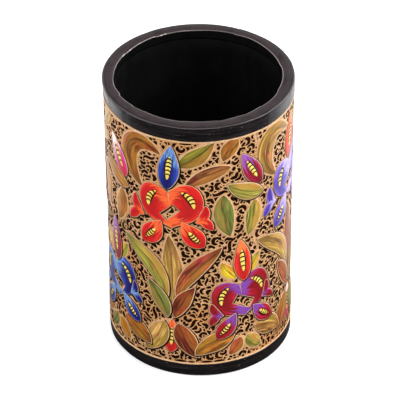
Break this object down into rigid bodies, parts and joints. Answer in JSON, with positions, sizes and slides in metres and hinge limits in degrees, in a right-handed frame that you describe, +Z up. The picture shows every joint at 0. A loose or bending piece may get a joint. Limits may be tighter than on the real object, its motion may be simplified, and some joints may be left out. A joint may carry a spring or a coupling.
{
  "type": "pen holder cup",
  "caption": "Round open-topped desk cup in lacquered papier-mache that stands on a flat base and holds pens and pencils upright.",
  "frame": {"origin": "centre of the underside, in the plane the cup stands on", "axes": "+Z up along the cup's axis; the side with the main painted flowers faces -Y, and +X is to the right of a viewer who looks at that side"},
  "size_m": [0.064, 0.064, 0.102],
  "materials": {
    "paper_core": "matte",
    "black_lacquer": "gloss",
    "painted_lacquer": "gloss",
    "black_lining": "satin"
  },
  "bodies": {
    "root": {"base_disc": "black_lacquer", "wall_tube": "paper_core", "rim_band": "black_lacquer", "foot_band": "black_lacquer", "painted_sleeve": "painted_lacquer", "well_lining": "black_lining", "floor_lining": "black_lining"}
  },
  "joints": []
}
